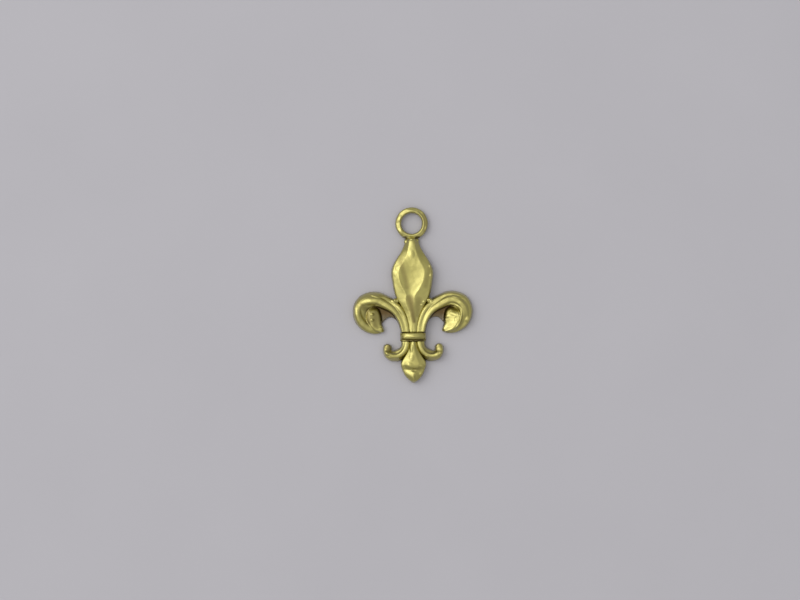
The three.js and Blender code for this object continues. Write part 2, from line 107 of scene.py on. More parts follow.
def box_mm(node):
    """A CAD node's lowest and highest corner, in millimetres."""
    low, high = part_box(node)
    return np.array(low) / MM, np.array(high) / MM


collar_low, collar_high = box_mm("collar_band")
ring_low, ring_high = box_mm("hanging_ring")
CENTRE_TIP = box_mm("centre_petal")[1][1]
SPEAR_TIP = box_mm("foot_spear")[0][1]
PETALS_ROOT = collar_high[1]
FOOT_ROOT = collar_low[1]
CENTRE_LENGTH = CENTRE_TIP - PETALS_ROOT
SPEAR_LENGTH = FOOT_ROOT - SPEAR_TIP
RING_RADIUS = 0.5 * (ring_high[0] - ring_low[0])
RING_Y = ring_high[1] - RING_RADIUS


def value_at(keys, x):
    """The value at x on a smooth line through (x, value) keys, level beyond its ends."""
    last = len(keys) - 1
    x = min(max(x, keys[0][0]), keys[last][0])
    i = next((k for k in range(last) if keys[k + 1][0] > x), last - 1)

    def slope(k):
        low, high = keys[max(k - 1, 0)], keys[min(k + 1, last)]
        return (high[1] - low[1]) / (high[0] - low[0])

    span = keys[i + 1][0] - keys[i][0]
    t = (x - keys[i][0]) / span
    start = (1 + 2 * t) * (1 - t) ** 2 * keys[i][1] + t * (1 - t) ** 2 * span * slope(i)
    return start + t * t * (3 - 2 * t) * keys[i + 1][1] + t * t * (t - 1) * span * slope(i + 1)


def row_at(rows, place):
    """The row at a place between rows, on a smooth curve through every row."""
    last = len(rows) - 1
    i = min(int(place), last - 1)
    t = place - i
    a, b, c, d = (np.array(rows[min(max(k, 0), last)], float) for k in range(i - 1, i + 3))
    return b + 0.5 * t * (c - a + t * (2 * a - 5 * b + 4 * c - d + t * (3 * (b - c) + d - a)))


def keyed(rows, x):
    """A row's values at x, where each row starts with its own x."""
    columns = np.array(rows, float)
    return np.array([value_at(columns[:, (0, n)].tolist(), x) for n in range(1, columns.shape[1])])


def ridge_rise(ridges, place, across):
    """How much the broad-crested ridges add at a distance from the outer edge. Each ridge has rows
    of place, distance of its crest from the outer edge, rise and half width."""
    total = 0
    for rows in ridges:
        crest_at, rise, half = keyed(rows, place)
        total += rise * max(1 - ((across - crest_at) / half) ** 4, 0) ** 2
    return total


def loft(stations):
    """Vertices and faces of a closed solid through stations of (start, along, outline)."""
    verts = [
        (start[0] + along[0] * d, start[1] + along[1] * d, z)
        for start, along, outline in stations
        for d, z in outline
    ]
    size = len(stations[0][2])
    total = len(verts)
    faces = [tuple(range(size)), tuple(range(total - 1, total - 1 - size, -1))]
    for first in range(0, total - size, size):
        for k in range(size):
            a, b = first + k, first + (k + 1) % size
            faces.append((a, a + size, b + size, b))
    return verts, faces


def rise_at(half):
    """How far the relief rises at an end that tapers, as a share of its full height."""
    return min(1, sqrt(half / TAPER_HALF))


def edged(top, width):
    """A section's whole outline: its top over two upright edges and a flat back."""
    first, last = (min(LAND, LAND_SHARE * top[k][1]) for k in (0, -1))
    return [(0, 0), (0, first), *top, (width, last), (width, 0)]


def heading(spine, place):
    """The way a spine runs at a place, square to Y at its root."""
    ahead = row_at(spine, min(place + HEADING_STEP, len(spine) - 1))
    travel = ahead[:2] - row_at(spine, max(place - HEADING_STEP, 0))[:2]
    if place == 0:
        travel[0] = 0
    return travel / np.linalg.norm(travel)


def ribbon(spine, sections, ridges, height, outer_side):
    """A ribbon along rows of (x, y, half width), its root square to Y. Each section row is the
    place among the spine's rows, the outer edge's height, the shoulder's share of the width and
    height, the middle's height, the rim's share and height, and the inner edge's height. All
    heights are shares of the ribbon's."""
    stations = []
    last = len(spine) - 1
    for place in np.linspace(0, last, last * STEPS_PER_ROW + 1):
        x, y, half = row_at(spine, place)
        travel = heading(spine, place)
        inward = np.array([travel[1], -travel[0]]) * outer_side
        outer, shoulder_at, shoulder, middle, rim_at, rim, inner = keyed(sections, place)
        lean = min(EDGE_LEAN, LEAN_SHARE * half) / (2 * half)
        base = [
            (lean, outer),
            (shoulder_at, shoulder),
            (0.5 * (shoulder_at + rim_at), middle),
            (rim_at, rim),
            (1 - lean, inner),
        ]
        rise = height * rise_at(half)
        top = []
        for share in np.linspace(lean, 1 - lean, SECTION_STEPS + 1):
            z = rise * (value_at(base, share) + ridge_rise(ridges, place, share * 2 * half))
            top.append((share * 2 * half, z))
        stations.append((np.array([x, y]) - inward * half, inward, edged(top, 2 * half)))
    return loft(stations)


def leaf_top(across, middle, ridge_at, ridge, shoulder, edge):
    """A leaf's height at a share of its half width: a hollow or a crown out to the ridge, a straight
    bevel down to the shoulder and a round edge."""
    if across < ridge_at:
        return middle + (ridge - middle) * (across / ridge_at) ** 2
    if across < SHOULDER_AT:
        return ridge + (shoulder - ridge) * (across - ridge_at) / (SHOULDER_AT - ridge_at)
    fall = (across - SHOULDER_AT) / (1 - SHOULDER_AT)
    return edge + (shoulder - edge) * sqrt(max(1 - fall * fall, 0))


def leaf(plan, sections, root, way, height):
    """A leaf on the Y axis. Its section rows are the distance from its root, how far its middle
    lies to the right as a share of the half width, and what leaf_top takes, with heights as
    shares of the leaf's."""
    stations = []
    for far in np.linspace(0, plan[-1][0], len(sections) * STEPS_PER_ROW):
        half = value_at(plan, far)
        shift, *row = keyed(sections, far)
        rise = height * rise_at(half)
        top = []
        for x in np.linspace(-1, 1, 2 * SECTION_STEPS + 1):
            across = (x - shift) / (1 - shift if x > shift else 1 + shift)
            top.append((half + x * (half - LEAF_LEAN), rise * leaf_top(abs(across), *row)))
        start = np.array([-half, root + way * far])
        stations.append((start, np.array([1, 0]), edged(top, 2 * half)))
    return loft(stations)


def prism(outline, height):
    """A solid that stands on the back over an outline."""
    verts = [(x, y, z) for z in (0, height) for x, y in outline]
    size = len(outline)
    faces = [tuple(range(size))[::-1], tuple(range(size, 2 * size))]
    faces += [(k, (k + 1) % size, size + (k + 1) % size, size + k) for k in range(size)]
    return verts, faces


def bead(centre, radii):
    """A granule of brass, as a ball stretched to three radii."""
    steps = 12
    verts = [(0, 0, 1)]
    for i in range(1, steps):
        down = pi * i / steps
        for k in range(2 * steps):
            turn = pi * k / steps
            verts.append((sin(down) * cos(turn), sin(down) * sin(turn), cos(down)))
    verts.append((0, 0, -1))
    ring = 2 * steps
    faces = [(0, 1 + k, 1 + (k + 1) % ring) for k in range(ring)]
    for i in range(steps - 2):
        for k in range(ring):
            a, b = 1 + i * ring + k, 1 + i * ring + (k + 1) % ring
            faces.append((a, a + ring, b + ring, b))
    end = len(verts) - 1
    faces += [(end, end - ring + (k + 1) % ring, end - ring + k) for k in range(ring)]
    verts = [tuple(np.array(centre) + np.array(v) * radii) for v in verts]
    return verts, faces


def mirrored(part):
    """The same part on the left, with its faces still turned outwards."""
    verts, faces = part
    return [(-x, y, z) for x, y, z in verts], [face[::-1] for face in faces]


# Centre petal. Swell: share of the length, and how much of the way from the stem's half width to
# the leaf's.
CENTRE_SWELL = [
    (0, 0), (0.1, 0.075), (0.19, 0.22), (0.28, 0.47), (0.37, 0.74), (0.45, 0.87), (0.55, 0.96),
    (0.63, 1), (0.7, 0.93), (0.78, 0.7), (0.86, 0.42), (0.93, 0.24), (1, 0.14),
]
centre_plan = [
    (share * CENTRE_LENGTH, CENTRE_STEM_HALF + swell * (CENTRE_HALF - CENTRE_STEM_HALF))
    for share, swell in CENTRE_SWELL
]

# Sections: share of the length, then what leaf takes.
CENTRE_SECTIONS = [
    (0, 0, 0.87, 0.36, 0.88, 0.84, 0.8),
    (0.12, -0.1, 0.9, 0.34, 0.89, 0.82, 0.76),
    (0.22, -0.22, 0.92, 0.33, 0.91, 0.79, 0.7),
    (0.31, -0.26, 0.93, 0.33, 0.94, 0.78, 0.6),
    (0.352, -0.22, 0.93, 0.28, 0.95, 0.78, 0.5),
    (0.395, -0.14, 0.915, 0.26, 0.97, 0.8, 0.44),
    (0.46, -0.12, 0.9, 0.43, 0.99, 0.83, 0.4),
    (0.545, -0.12, 0.89, 0.58, 1, 0.86, 0.4),
    (0.63, -0.1, 0.9, 0.62, 1, 0.87, 0.4),
    (0.7, -0.08, 0.935, 0.57, 0.98, 0.84, 0.4),
    (0.77, -0.04, 0.93, 0.46, 0.93, 0.77, 0.39),
    (0.83, 0, 0.9, 0.4, 0.88, 0.66, 0.36),
    (0.88, 0, 0.87, 0.42, 0.84, 0.55, 0.32),
    (0.95, 0, 0.79, 0.44, 0.75, 0.42, 0.22),
    (1, 0, 0.7, 0.42, 0.64, 0.28, 0.12),
]

# Spilt metal beside the ring's joint: how far out, how far below the tip, height and radii.
SPILLS = [(-0.66, 0.36, 0.42, (0.24, 0.34, 0.34)), (0.6, 0.2, 0.46, (0.22, 0.16, 0.3))]


def centre_petal():
    """A leaf whose middle facet is hollow-ground between two ridges, over a fluted stem."""
    sections = [(share * CENTRE_LENGTH, *row) for share, *row in CENTRE_SECTIONS]
    petal = leaf(centre_plan, sections, PETALS_ROOT, 1, CENTRE_HEIGHT)
    return [petal, *[bead((x, CENTRE_TIP - down, z), radii) for x, down, z, radii in SPILLS]]


# Side petals.
curl_x = value_at(centre_plan, CROTCH_UP) + CURL_REACH
curl_y = PETALS_ROOT + CROTCH_UP - CURL_DROP

# Sections of the bands, for ribbon. Rows 0 to 3 lie on the stem, 4 at the crotch and 5 to 15 round
# the curl. The left curl has a lower flank inside its rib.
STEM_SECTIONS = [
    (0, 0.86, 0.2, 0.91, 0.92, 0.9, 0.86, 0.5),
    (2, 0.84, 0.2, 0.92, 0.89, 0.9, 0.84, 0.42),
    (3, 0.8, 0.2, 0.91, 0.88, 0.9, 0.82, 0.42),
    (4, 0.64, 0.16, 0.78, 0.86, 0.92, 0.8, 0.42),
]
RIGHT_SECTIONS = [
    *STEM_SECTIONS,
    (5, 0.52, 0.13, 0.7, 0.82, 0.94, 0.78, 0.46),
    (6, 0.48, 0.12, 0.66, 0.8, 0.94, 0.77, 0.48),
    (7, 0.46, 0.12, 0.64, 0.8, 0.95, 0.76, 0.5),
    (8, 0.46, 0.12, 0.64, 0.8, 0.95, 0.76, 0.52),
    (9, 0.46, 0.12, 0.64, 0.78, 0.86, 0.76, 0.56),
    (10, 0.44, 0.12, 0.62, 0.72, 0.86, 0.78, 0.62),
    (11, 0.42, 0.13, 0.58, 0.64, 0.84, 0.8, 0.68),
    (12, 0.36, 0.14, 0.46, 0.56, 0.74, 0.76, 0.7),
    (13, 0.36, 0.15, 0.44, 0.54, 0.7, 0.66, 0.66),
    (15, 0.36, 0.18, 0.42, 0.48, 0.9, 0.54, 0.52),
]
LEFT_SECTIONS = [
    *STEM_SECTIONS,
    (5, 0.46, 0.13, 0.62, 0.82, 0.94, 0.78, 0.46),
    (6, 0.42, 0.12, 0.58, 0.8, 0.94, 0.74, 0.48),
    (7, 0.4, 0.12, 0.58, 0.8, 0.95, 0.68, 0.5),
    (8, 0.4, 0.12, 0.6, 0.8, 0.95, 0.6, 0.46),
    (9, 0.42, 0.12, 0.66, 0.7, 0.95, 0.48, 0.4),
    (10, 0.42, 0.12, 0.66, 0.65, 0.94, 0.44, 0.38),
    (11, 0.4, 0.13, 0.6, 0.61, 0.94, 0.44, 0.38),
    (12, 0.36, 0.14, 0.5, 0.56, 0.94, 0.48, 0.42),
    (13, 0.36, 0.15, 0.44, 0.52, 0.94, 0.52, 0.48),
    (15, 0.36, 0.18, 0.42, 0.47, 0.94, 0.5, 0.48),
]

# Ridges on the bands, for ridge_rise: the rib, the right curl's thin inner lip, and two faint
# lines on the outer side of the stem and the curl.
STEM_RIB = [(0, 0.86, 0.01, 0.4), (2, 1.04, 0.05, 0.44), (3, 1.12, 0.1, 0.44), (4, 1.1, 0.13, 0.46)]
RIGHT_RIB = [
    *STEM_RIB, (5, 1.0, 0.14, 0.46), (6, 0.96, 0.14, 0.46), (7, 0.99, 0.14, 0.46),
    (8, 1.04, 0.14, 0.46), (9, 0.95, 0.13, 0.46), (9.6, 0.86, 0.09, 0.44), (10, 0.78, 0.06, 0.42),
    (10.5, 0.7, 0, 0.4), (15, 0.7, 0, 0.4),
]
LEFT_RIB = [
    *STEM_RIB, (5, 0.96, 0.15, 0.5), (6, 0.96, 0.17, 0.6), (7, 0.9, 0.16, 0.6),
    (8, 0.76, 0.06, 0.5), (8.5, 0.56, 0.03, 0.44), (9, 0.5, 0.1, 0.48), (9.6, 0.54, 0.13, 0.5),
    (10, 0.58, 0.13, 0.5), (11, 0.62, 0.11, 0.48), (12, 0.6, 0.05, 0.44), (13, 0.5, 0, 0.4),
    (15, 0.5, 0, 0.4),
]
RIGHT_LIP = [
    (0, 1.5, 0, 0.2), (4.5, 1.5, 0, 0.2), (6, 1.6, 0.05, 0.2), (7, 1.64, 0.06, 0.2),
    (8, 1.6, 0.07, 0.2), (9, 1.46, 0.09, 0.22), (10, 1.31, 0.1, 0.22), (11, 1.09, 0.1, 0.22),
    (12, 0.7, 0.08, 0.2), (13, 0.36, 0.06, 0.16), (15, 0.2, 0, 0.1),
]
FLANK_LINE = [
    (0, 0.26, 0.01, 0.3), (2, 0.32, 0.03, 0.3), (3, 0.36, 0.05, 0.32), (4, 0.4, 0.03, 0.3),
    (5, 0.4, 0, 0.3), (15, 0.4, 0, 0.3),
]
SHOULDER_LINE = [
    (0, 0.3, 0, 0.1), (4.4, 0.3, 0, 0.1), (5.4, 0.34, 0.035, 0.16), (7.3, 0.36, 0.035, 0.16),
    (8.6, 0.36, 0, 0.12), (15, 0.3, 0, 0.1),
]
RIGHT_RIDGES = [RIGHT_RIB, RIGHT_LIP, FLANK_LINE, SHOULDER_LINE]
LEFT_RIDGES = [LEFT_RIB, FLANK_LINE, SHOULDER_LINE]

# The lobes: rows of how far out and up from the curl's middle and share of the width, and sections
# for ribbon.
RIGHT_LOBE = [
    (0.52, 1.15, 0.5), (0.44, 0.5, 0.8), (0.2, -0.2, 1), (0.06, -0.85, 0.98),
    (-0.18, -1.44, 0.8), (-0.62, -1.86, 0.46), (-1.0, -2.1, 0.14),
]
LEFT_LOBE = [
    (0.4, 1.05, 0.5), (0.34, 0.5, 0.76), (0.16, -0.2, 0.92), (0.06, -0.85, 0.94),
    (-0.18, -1.44, 0.78), (-0.62, -1.86, 0.46), (-1.0, -2.1, 0.14),
]
RIGHT_LOBE_SECTIONS = [
    (0, 0.16, 0.16, 0.2, 0.18, 0.84, 0.16, 0.14),
    (1, 0.42, 0.16, 0.44, 0.36, 0.84, 0.26, 0.18),
    (1.5, 0.66, 0.16, 0.7, 0.56, 0.84, 0.4, 0.24),
    (2, 0.76, 0.16, 0.8, 0.64, 0.84, 0.44, 0.26),
    (3, 0.76, 0.16, 0.8, 0.63, 0.84, 0.44, 0.26),
    (4, 0.74, 0.16, 0.78, 0.63, 0.84, 0.47, 0.28),
    (5, 0.66, 0.16, 0.7, 0.6, 0.84, 0.5, 0.3),
    (6, 0.6, 0.16, 0.62, 0.57, 0.84, 0.52, 0.34),
]
LEFT_LOBE_SECTIONS = [
    (0, 0.16, 0.26, 0.24, 0.22, 0.84, 0.16, 0.14),
    (1, 0.34, 0.26, 0.48, 0.42, 0.84, 0.3, 0.2),
    (1.5, 0.46, 0.26, 0.6, 0.54, 0.84, 0.4, 0.26),
    (2, 0.5, 0.26, 0.63, 0.55, 0.84, 0.4, 0.26),
    (3, 0.5, 0.26, 0.62, 0.54, 0.84, 0.4, 0.26),
    (4, 0.48, 0.26, 0.6, 0.53, 0.84, 0.42, 0.28),
    (5, 0.46, 0.2, 0.56, 0.52, 0.84, 0.44, 0.32),
    (6, 0.44, 0.16, 0.52, 0.52, 0.84, 0.46, 0.34),
]

# The band's spine. On the stem: share of the way up to the crotch, lean in degrees and share of the
# stem's width. Round the curl: turn in degrees from its right, share of its radius and of the width.
# At the crotch: how far out of it and below it as shares of the half width, and share of the width.
STEM_WAY = [(0, 0, 1), (0.26, 4, 1.08), (0.52, 16, 1.2), (0.78, 33, 1.34)]
CROTCH_WAY = (0.8, 0.84, 0.94)
CURL_WAY = [
    (112, 1, 0.99), (88, 1.01, 1.01), (64, 1.035, 1.03), (40, 1.07, 1.06), (15, 1.055, 1.02),
    (-12, 1.03, 0.92), (-38, 1.015, 0.78), (-62, 1, 0.57), (-84, 1, 0.33), (-102, 1, 0.14),
    (-114, 1, 0.04),
]


def side_spine():
    """Rows of (x, y, half width) up the centre petal's flank and round the curl."""
    spine = []
    for share, lean, widen in STEM_WAY:
        up = share * CROTCH_UP
        half = (widen * BAND_STEM + LAP) / 2
        x = value_at(centre_plan, up) - LAP + half * cos(radians(lean))
        spine.append((x, PETALS_ROOT + up - half * sin(radians(lean)), half))
    out, down, share = CROTCH_WAY
    half = share * BAND_WIDTH / 2
    crotch_x = value_at(centre_plan, CROTCH_UP) + out * half
    spine.append((crotch_x, PETALS_ROOT + CROTCH_UP - down * half, half))
    for turn, reach, share in CURL_WAY:
        half = 0.5 * share * BAND_WIDTH
        radius = reach * CURL_RADIUS - half
        x = curl_x + radius * cos(radians(turn))
        spine.append((x, curl_y + radius * sin(radians(turn)), half))
    return spine


# The web, from the curl's middle. Its lower edge is an arch that falls by ARCH_FALL at ARCH_HALF
# from its middle. The other corners lie inside the band and the lobe.
ARCH_MIDDLE = -1.75
ARCH_TOP = -0.5
ARCH_FALL = 0.55
ARCH_HALF = 0.85
ARCH_ENDS = (-2.7, -0.8)
WEB_CORNERS = [(0.8, -0.6), (0.9, 1), (0.2, 1.5), (-1.2, 1.3), (-2.2, 0.5)]


def crook_web():
    """The low web that fills the crook."""
    arch = [
        (x, ARCH_TOP - ARCH_FALL * ((x - ARCH_MIDDLE) / ARCH_HALF) ** 2)
        for x in np.linspace(*ARCH_ENDS, 13)
    ]
    return prism([(curl_x + x, curl_y + y) for x, y in [*arch, *WEB_CORNERS]], WEB_HEIGHT)


# The granule at the crotch: how far out, down and up, and its radii.
GRANULE = (0.04, 0.08, 0.74)
GRANULE_RADII = (0.46, 0.32, 0.42)


def crotch_granule():
    """The granule where the petals part."""
    out, down, up = GRANULE
    flank = value_at(centre_plan, CROTCH_UP)
    return bead((flank + out, PETALS_ROOT + CROTCH_UP - down, up), GRANULE_RADII)


def side_petal(sections, ridges, lobe_rows, lobe_sections):
    """The right petal: a band that climbs the centre petal's flank and curls over, with a lobe
    that turns over inside the curl and a low web in its crook."""
    band = ribbon(side_spine(), sections, ridges, BAND_HEIGHT, 1)
    lobe_spine = [(curl_x + x, curl_y + y, 0.5 * share * LOBE_WIDTH) for x, y, share in lobe_rows]
    lobe = ribbon(lobe_spine, lobe_sections, [], BAND_HEIGHT, 1)
    return [band, lobe, crook_web(), crotch_granule()]


# Collar band.
def collar_profile(length, height):
    """The band's top from the foot's end to the petals' end, as (place, height): a lip, the bead
    and a lip again."""
    half = length / 2
    top = [(-half, COLLAR_LIP - LIP_DROP)]
    for turn in np.linspace(0, pi, 25):
        lip = COLLAR_LIP - LIP_DROP * cos(turn)
        rise = (height - lip) * max(sin(turn), 0) ** BEAD_ROUND
        top.append((BEAD_RAISED - BEAD_RADIUS * cos(turn), lip + rise))
    top.append((half, COLLAR_LIP + LIP_DROP))
    return top


def collar_band():
    """A bead with a low lip above and below it, arched over the stems."""
    length = collar_high[1] - collar_low[1]
    half = length / 2
    top = collar_profile(length, collar_high[2])
    stations = []
    for turn in np.linspace(-COLLAR_ARCH_TURN, COLLAR_ARCH_TURN, 49):
        arch = cos(radians(turn)) ** ARCH_ROUND
        narrow = arch**NARROW_ROUND
        x = collar_high[0] * sin(radians(turn)) / sin(radians(COLLAR_ARCH_TURN))
        draw_in = half * (1 - narrow)
        front = [(y * narrow + half, z * arch) for y, z in top]
        outline = [(draw_in, 0), *front, (length - draw_in, 0)]
        stations.append((np.array([x, collar_low[1]]), np.array([0, 1]), outline))
    return [loft(stations)]


# Foot. The spear's swell is as the centre petal's.
SPEAR_SWELL = [
    (0, 0), (0.12, 0.08), (0.22, 0.24), (0.32, 0.47), (0.41, 0.74), (0.49, 0.95), (0.55, 1),
    (0.61, 0.96), (0.68, 0.85), (0.75, 0.73), (0.82, 0.55), (0.89, 0.31), (0.95, 0.03), (1, -0.28),
]
spear_plan = [
    (share * SPEAR_LENGTH, SPEAR_STEM_HALF + swell * (SPEAR_HALF - SPEAR_STEM_HALF))
    for share, swell in SPEAR_SWELL
]

# Sections of the spear: share of its length, then what leaf takes.
SPEAR_SECTIONS = [
    (0, 0, 0.86, 0.34, 0.83, 0.72, 0.6),
    (0.12, 0, 0.88, 0.34, 0.85, 0.73, 0.6),
    (0.26, 0, 0.91, 0.34, 0.88, 0.74, 0.56),
    (0.4, 0, 0.93, 0.36, 0.9, 0.76, 0.5),
    (0.5, 0, 0.94, 0.4, 0.92, 0.77, 0.46),
    (0.57, 0, 0.94, 0.4, 0.92, 0.76, 0.44),
    (0.62, 0, 0.9, 0.36, 0.88, 0.72, 0.42),
    (0.68, 0, 0.83, 0.28, 0.83, 0.68, 0.4),
    (0.74, 0, 0.88, 0.16, 0.87, 0.66, 0.38),
    (0.81, 0, 0.9, 0.1, 0.89, 0.64, 0.38),
    (0.9, 0, 0.84, 0.1, 0.83, 0.58, 0.36),
    (0.96, 0, 0.74, 0.1, 0.73, 0.5, 0.34),
    (1, 0, 0.6, 0.12, 0.6, 0.42, 0.3),
]


def foot_spear():
    """A narrow stem, a bulge, a shallow waist and a keeled bud."""
    sections = [(share * SPEAR_LENGTH, *row) for share, *row in SPEAR_SECTIONS]
    return [leaf(spear_plan, sections, FOOT_ROOT, -1, SPEAR_HEIGHT)]


# The scroll's bend: turn in degrees and share of the arm's width. The knob: turns round its top.
BEND_WAY = [(0, 0.9), (30, 0.87), (60, 0.82), (88, 0.76)]
KNOB_TURNS = (16, 40, 62, 78)

# Sections and rib of the scroll, for ribbon: rows 0 to 2 lie on the stem, 3 and 4 on the arm, 5 to 8
# on the bend and 9 to 12 on the knob.
SCROLL_SECTIONS = [
    (0, 0.7, 0.14, 0.82, 0.86, 0.86, 0.78, 0.5),
    (2, 0.6, 0.14, 0.76, 0.82, 0.86, 0.74, 0.44),
    (4, 0.4, 0.13, 0.58, 0.74, 0.88, 0.62, 0.42),
    (5.5, 0.48, 0.14, 0.66, 0.77, 0.88, 0.63, 0.42),
    (6.5, 0.66, 0.16, 0.79, 0.81, 0.88, 0.64, 0.42),
    (8, 0.66, 0.16, 0.8, 0.81, 0.88, 0.64, 0.42),
    (9, 0.5, 0.14, 0.68, 0.78, 0.88, 0.66, 0.42),
    (12, 0.38, 0.13, 0.58, 0.74, 0.88, 0.64, 0.42),
]
SCROLL_RIB = [
    (0, 0.43, 0.08, 0.34), (2, 0.48, 0.14, 0.36), (4, 0.6, 0.19, 0.38), (6, 0.58, 0.17, 0.38),
    (7, 0.52, 0.1, 0.36), (8, 0.5, 0, 0.36), (12, 0.42, 0, 0.36),
]


def scroll_spine():
    """Rows of (x, y, half width) down the spear's flank, out along the arm and up to the knob."""
    stem_x = SPEAR_STEM_HALF + SCROLL_STEM / 2
    stem_half = (SCROLL_STEM + LAP) / 2
    arm_half = SCROLL_WIDTH / 2
    knob_x = stem_x + SCROLL_REACH
    spine = [
        (stem_x - LAP / 2, FOOT_ROOT, stem_half),
        (stem_x - 0.4 * LAP, FOOT_ROOT - 0.27 * SCROLL_DROP, 0.96 * stem_half),
        (stem_x + 0.04 * SCROLL_REACH, FOOT_ROOT - 0.53 * SCROLL_DROP, 0.97 * stem_half),
        (stem_x + 0.19 * SCROLL_REACH, FOOT_ROOT - 0.78 * SCROLL_DROP, 0.9 * arm_half),
        (stem_x + 0.42 * SCROLL_REACH, FOOT_ROOT - 0.95 * SCROLL_DROP, 0.98 * arm_half),
    ]
    for turn, share in BEND_WAY:
        x = knob_x - SCROLL_BEND * (1 - sin(radians(turn)))
        y = FOOT_ROOT - SCROLL_DROP + SCROLL_BEND * (1 - cos(radians(turn)))
        spine.append((x, y, share * arm_half))
    for turn in KNOB_TURNS:
        y = FOOT_ROOT - KNOB_DROP + KNOB_RADIUS * sin(radians(turn))
        spine.append((knob_x, y, KNOB_RADIUS * cos(radians(turn))))
    return spine


def foot_scroll():
    """The right scroll, a ribbed arm that ends in a round knob."""
    return [ribbon(scroll_spine(), SCROLL_SECTIONS, [SCROLL_RIB], SCROLL_HEIGHT, -1)]


# Hanging ring. The height of the wire's front over the way from its inner to its outer side: the
# crown lies near the hole and the front falls away outwards as one worn facet.
RING_FRONT = [
    (-1, 0), (-0.9, 0.5), (-0.72, 0.84), (-0.42, 1), (0.15, 0.87), (0.7, 0.71), (0.9, 0.44), (1, 0),
]


def hanging_ring():
    """Closed oval wire, worn in front and cut flat on the back."""
    wire_radius = RING_RADIUS - RING_WIRE / 2
    half_up = ring_high[2] / (1 + sqrt(1 - (RING_BACK_FLAT / RING_WIRE) ** 2))
    around, sides = 144, 48
    verts, faces = [], []
    for i in range(around):
        turn = 2 * pi * i / around
        for k in range(sides):
            tilt = 2 * pi * k / sides
            reach = wire_radius + 0.5 * RING_WIRE * cos(tilt)
            rise = value_at(RING_FRONT, cos(tilt)) if sin(tilt) > 0 else sin(tilt)
            z = max(ring_high[2] - half_up + half_up * rise, 0)
            verts.append((reach * cos(turn), RING_Y + reach * sin(turn), z))
            a, b = i * sides + k, i * sides + (k + 1) % sides
            c, d = (a + sides) % (around * sides), (b + sides) % (around * sides)
            faces.append((a, c, d, b))
    return [(verts, faces)]


